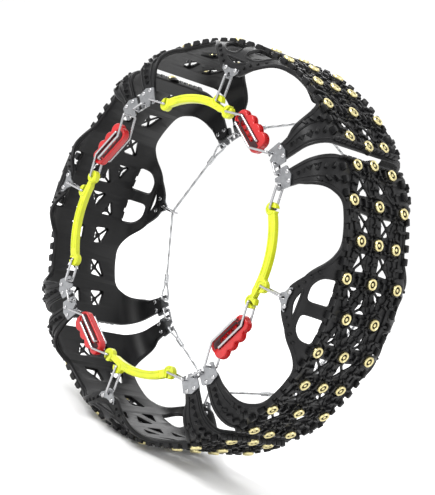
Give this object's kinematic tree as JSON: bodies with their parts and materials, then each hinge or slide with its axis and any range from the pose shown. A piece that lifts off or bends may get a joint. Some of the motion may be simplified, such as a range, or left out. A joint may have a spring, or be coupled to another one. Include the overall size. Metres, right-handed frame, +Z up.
{
  "type": "tire snow chain",
  "caption": "Studded net snow chain for one car tyre: moulded polymer panels with metal studs, joined in a ring by steel links and tightened by toggle levers on the outer side.",
  "frame": {"origin": "centre of the wheel, on the axle line and in the tyre middle plane", "axes": "+Y along the axle toward the vehicle, so the side with the levers faces -Y; +Z up; +X to the right seen from the lever side"},
  "size_m": [0.79, 0.2977, 0.79],
  "materials": {
    "net_polymer": "moulded, semi-gloss",
    "stud_alloy": "pale yellow zinc plating",
    "plate_steel": "zinc plated",
    "rivet_steel": "dull zinc plated",
    "wire_steel": "bright plated",
    "yellow_plastic": "moulded, satin gloss",
    "red_plastic": "moulded, glossy",
    "cable_steel": "stranded, galvanised"
  },
  "bodies": {
    "panel_right": {"net_panel_right": "net_polymer", "stud_set_right": "stud_alloy", "end_plates_right": "plate_steel", "tip_plates_right": "plate_steel", "plate_rivets_right": "rivet_steel", "inner_cable_right": "cable_steel", "inner_tip_link_right": "wire_steel"},
    "tip_link_right": {"tip_link_right": "wire_steel"},
    "side_connector_right": {"side_connector_right": "yellow_plastic"},
    "start_link_right": {"start_link_right": "wire_steel"},
    "tensioner_bail_right": {"tensioner_bail_right": "wire_steel"},
    "tensioner_lever_right": {"tensioner_lever_right": "red_plastic"},
    "tensioner_hook_right": {"tensioner_hook_right": "wire_steel"},
    "seam_links_right": {"seam_link_right": "wire_steel", "inner_seam_link_right": "wire_steel"},
    "panel_bottom": {"net_panel_bottom": "net_polymer", "stud_set_bottom": "stud_alloy", "end_plates_bottom": "plate_steel", "tip_plates_bottom": "plate_steel", "plate_rivets_bottom": "rivet_steel", "inner_cable_bottom": "cable_steel", "inner_tip_link_bottom": "wire_steel"},
    "tip_link_bottom": {"tip_link_bottom": "wire_steel"},
    "side_connector_bottom": {"side_connector_bottom": "yellow_plastic"},
    "start_link_bottom": {"start_link_bottom": "wire_steel"},
    "tensioner_bail_bottom": {"tensioner_bail_bottom": "wire_steel"},
    "tensioner_lever_bottom": {"tensioner_lever_bottom": "red_plastic"},
    "tensioner_hook_bottom": {"tensioner_hook_bottom": "wire_steel"},
    "seam_links_bottom": {"seam_link_bottom": "wire_steel", "inner_seam_link_bottom": "wire_steel"},
    "panel_left": {"net_panel_left": "net_polymer", "stud_set_left": "stud_alloy", "end_plates_left": "plate_steel", "tip_plates_left": "plate_steel", "plate_rivets_left": "rivet_steel", "inner_cable_left": "cable_steel", "inner_tip_link_left": "wire_steel"},
    "tip_link_left": {"tip_link_left": "wire_steel"},
    "side_connector_left": {"side_connector_left": "yellow_plastic"},
    "start_link_left": {"start_link_left": "wire_steel"},
    "tensioner_bail_left": {"tensioner_bail_left": "wire_steel"},
    "tensioner_lever_left": {"tensioner_lever_left": "red_plastic"},
    "tensioner_hook_left": {"tensioner_hook_left": "wire_steel"},
    "seam_links_left": {"seam_link_left": "wire_steel", "inner_seam_link_left": "wire_steel"},
    "panel_top": {"net_panel_top": "net_polymer", "stud_set_top": "stud_alloy", "end_plates_top": "plate_steel", "tip_plates_top": "plate_steel", "plate_rivets_top": "rivet_steel", "inner_cable_top": "cable_steel", "inner_tip_link_top": "wire_steel"},
    "tip_link_top": {"tip_link_top": "wire_steel"},
    "side_connector_top": {"side_connector_top": "yellow_plastic"},
    "start_link_top": {"start_link_top": "wire_steel"},
    "tensioner_bail_top": {"tensioner_bail_top": "wire_steel"},
    "tensioner_lever_top": {"tensioner_lever_top": "red_plastic"},
    "tensioner_hook_top": {"tensioner_hook_top": "wire_steel"},
    "seam_links_top": {"seam_link_top": "wire_steel", "inner_seam_link_top": "wire_steel"}
  },
  "joints": [
    {"name": "ring_rack", "type": "hinge", "parent": "panel_top", "child": "panel_right", "pos_m": [0.19799, 0, 0.19799], "axis": [0, -1, 0], "range_deg": [-5, 5]},
    {"name": "left_panel_swing", "type": "hinge", "parent": "panel_top", "child": "panel_left", "pos_m": [-0.19799, 0, 0.19799], "axis": [0, -1, 0], "range_deg": [-5, 5]},
    {"name": "bottom_panel_swing", "type": "hinge", "parent": "panel_right", "child": "panel_bottom", "pos_m": [0.19799, 0, -0.19799], "axis": [0, -1, 0], "range_deg": [-5, 5]},
    {"name": "seam_link_right_swing", "type": "hinge", "parent": "panel_right", "child": "seam_links_right", "pos_m": [0.19799, 0, -0.19799], "axis": [0, -1, 0], "range_deg": [-2.5, 2.5]},
    {"name": "seam_link_bottom_swing", "type": "hinge", "parent": "panel_bottom", "child": "seam_links_bottom", "pos_m": [-0.19799, 0, -0.19799], "axis": [0, -1, 0], "range_deg": [-2.5, 2.5]},
    {"name": "seam_link_left_swing", "type": "hinge", "parent": "panel_left", "child": "seam_links_left", "pos_m": [-0.19799, 0, 0.19799], "axis": [0, -1, 0], "range_deg": [-2.5, 2.5]},
    {"name": "seam_link_top_swing", "type": "hinge", "parent": "panel_top", "child": "seam_links_top", "pos_m": [0.19799, 0, 0.19799], "axis": [0, -1, 0], "range_deg": [-2.5, 2.5]},
    {"name": "connector_right_swing", "type": "hinge", "parent": "tip_link_right", "child": "side_connector_right", "pos_m": [0.267, -0.1345, 0], "axis": [0, -1, 0], "range_deg": [0, 10]},
    {"name": "tip_link_right_swing", "type": "hinge", "parent": "panel_right", "child": "tip_link_right", "pos_m": [0.319, -0.1345, 0], "axis": [0, -1, 0], "range_deg": [0, 0.13]},
    {"name": "start_link_right_unhook", "type": "hinge", "parent": "side_connector_right", "child": "start_link_right", "pos_m": [0.22276, -0.1345, 0.13017], "axis": [0, -1, 0], "range_deg": [0, 20]},
    {"name": "bail_right_swing", "type": "hinge", "parent": "side_connector_right", "child": "tensioner_bail_right", "pos_m": [0.25579, -0.1345, -0.03368], "axis": [0, -1, 0], "range_deg": [-12.63, 0]},
    {"name": "lever_right_open", "type": "hinge", "parent": "tensioner_bail_right", "child": "tensioner_lever_right", "pos_m": [0.2292, -0.1345, -0.1348], "axis": [0, -1, 0], "range_deg": [0, 120]},
    {"name": "hook_right_swing", "type": "hinge", "parent": "tensioner_lever_right", "child": "tensioner_hook_right", "pos_m": [0.24588, -0.1345, -0.07298], "axis": [0, -1, 0], "range_deg": [-180, 0]},
    {"name": "connector_bottom_swing", "type": "hinge", "parent": "tip_link_bottom", "child": "side_connector_bottom", "pos_m": [0, -0.1345, -0.267], "axis": [0, -1, 0], "range_deg": [0, 10]},
    {"name": "tip_link_bottom_swing", "type": "hinge", "parent": "panel_bottom", "child": "tip_link_bottom", "pos_m": [0, -0.1345, -0.319], "axis": [0, -1, 0], "range_deg": [0, 0.13]},
    {"name": "start_link_bottom_unhook", "type": "hinge", "parent": "side_connector_bottom", "child": "start_link_bottom", "pos_m": [0.13017, -0.1345, -0.22276], "axis": [0, -1, 0], "range_deg": [0, 20]},
    {"name": "bail_bottom_swing", "type": "hinge", "parent": "side_connector_bottom", "child": "tensioner_bail_bottom", "pos_m": [-0.03368, -0.1345, -0.25579], "axis": [0, -1, 0], "range_deg": [-12.63, 0]},
    {"name": "lever_bottom_open", "type": "hinge", "parent": "tensioner_bail_bottom", "child": "tensioner_lever_bottom", "pos_m": [-0.1348, -0.1345, -0.2292], "axis": [0, -1, 0], "range_deg": [0, 120]},
    {"name": "hook_bottom_swing", "type": "hinge", "parent": "tensioner_lever_bottom", "child": "tensioner_hook_bottom", "pos_m": [-0.07298, -0.1345, -0.24588], "axis": [0, -1, 0], "range_deg": [-180, 0]},
    {"name": "connector_left_swing", "type": "hinge", "parent": "tip_link_left", "child": "side_connector_left", "pos_m": [-0.267, -0.1345, 0], "axis": [0, -1, 0], "range_deg": [0, 10]},
    {"name": "tip_link_left_swing", "type": "hinge", "parent": "panel_left", "child": "tip_link_left", "pos_m": [-0.319, -0.1345, 0], "axis": [0, -1, 0], "range_deg": [0, 0.13]},
    {"name": "start_link_left_unhook", "type": "hinge", "parent": "side_connector_left", "child": "start_link_left", "pos_m": [-0.22276, -0.1345, -0.13017], "axis": [0, -1, 0], "range_deg": [0, 20]},
    {"name": "bail_left_swing", "type": "hinge", "parent": "side_connector_left", "child": "tensioner_bail_left", "pos_m": [-0.25579, -0.1345, 0.03368], "axis": [0, -1, 0], "range_deg": [-12.63, 0]},
    {"name": "lever_left_open", "type": "hinge", "parent": "tensioner_bail_left", "child": "tensioner_lever_left", "pos_m": [-0.2292, -0.1345, 0.1348], "axis": [0, -1, 0], "range_deg": [0, 120]},
    {"name": "hook_left_swing", "type": "hinge", "parent": "tensioner_lever_left", "child": "tensioner_hook_left", "pos_m": [-0.24588, -0.1345, 0.07298], "axis": [0, -1, 0], "range_deg": [-180, 0]},
    {"name": "connector_top_swing", "type": "hinge", "parent": "tip_link_top", "child": "side_connector_top", "pos_m": [0, -0.1345, 0.267], "axis": [0, -1, 0], "range_deg": [0, 10]},
    {"name": "tip_link_top_swing", "type": "hinge", "parent": "panel_top", "child": "tip_link_top", "pos_m": [0, -0.1345, 0.319], "axis": [0, -1, 0], "range_deg": [0, 0.13]},
    {"name": "start_link_top_unhook", "type": "hinge", "parent": "side_connector_top", "child": "start_link_top", "pos_m": [-0.13017, -0.1345, 0.22276], "axis": [0, -1, 0], "range_deg": [0, 20]},
    {"name": "bail_top_swing", "type": "hinge", "parent": "side_connector_top", "child": "tensioner_bail_top", "pos_m": [0.03368, -0.1345, 0.25579], "axis": [0, -1, 0], "range_deg": [-12.63, 0]},
    {"name": "lever_top_open", "type": "hinge", "parent": "tensioner_bail_top", "child": "tensioner_lever_top", "pos_m": [0.1348, -0.1345, 0.2292], "axis": [0, -1, 0], "range_deg": [0, 120]},
    {"name": "hook_top_swing", "type": "hinge", "parent": "tensioner_lever_top", "child": "tensioner_hook_top", "pos_m": [0.07298, -0.1345, 0.24588], "axis": [0, -1, 0], "range_deg": [-180, 0]}
  ],
  "couplings": [
    {"joint": "left_panel_swing", "follows": "ring_rack", "ratio": 1},
    {"joint": "bottom_panel_swing", "follows": "ring_rack", "ratio": -1},
    {"joint": "seam_link_right_swing", "follows": "ring_rack", "ratio": -0.5},
    {"joint": "seam_link_bottom_swing", "follows": "ring_rack", "ratio": 0.5},
    {"joint": "seam_link_left_swing", "follows": "ring_rack", "ratio": -0.5},
    {"joint": "seam_link_top_swing", "follows": "ring_rack", "ratio": 0.5},
    {"joint": "tip_link_right_swing", "follows": "connector_right_swing", "ratio": 0.013},
    {"joint": "bail_right_swing", "follows": "connector_right_swing", "ratio": -1.262},
    {"joint": "hook_right_swing", "follows": "lever_right_open", "ratio": -1.5},
    {"joint": "tip_link_bottom_swing", "follows": "connector_bottom_swing", "ratio": 0.013},
    {"joint": "bail_bottom_swing", "follows": "connector_bottom_swing", "ratio": -1.262},
    {"joint": "hook_bottom_swing", "follows": "lever_bottom_open", "ratio": -1.5},
    {"joint": "tip_link_left_swing", "follows": "connector_left_swing", "ratio": 0.013},
    {"joint": "bail_left_swing", "follows": "connector_left_swing", "ratio": -1.262},
    {"joint": "hook_left_swing", "follows": "lever_left_open", "ratio": -1.5},
    {"joint": "tip_link_top_swing", "follows": "connector_top_swing", "ratio": 0.013},
    {"joint": "bail_top_swing", "follows": "connector_top_swing", "ratio": -1.262},
    {"joint": "hook_top_swing", "follows": "lever_top_open", "ratio": -1.5}
  ]
}
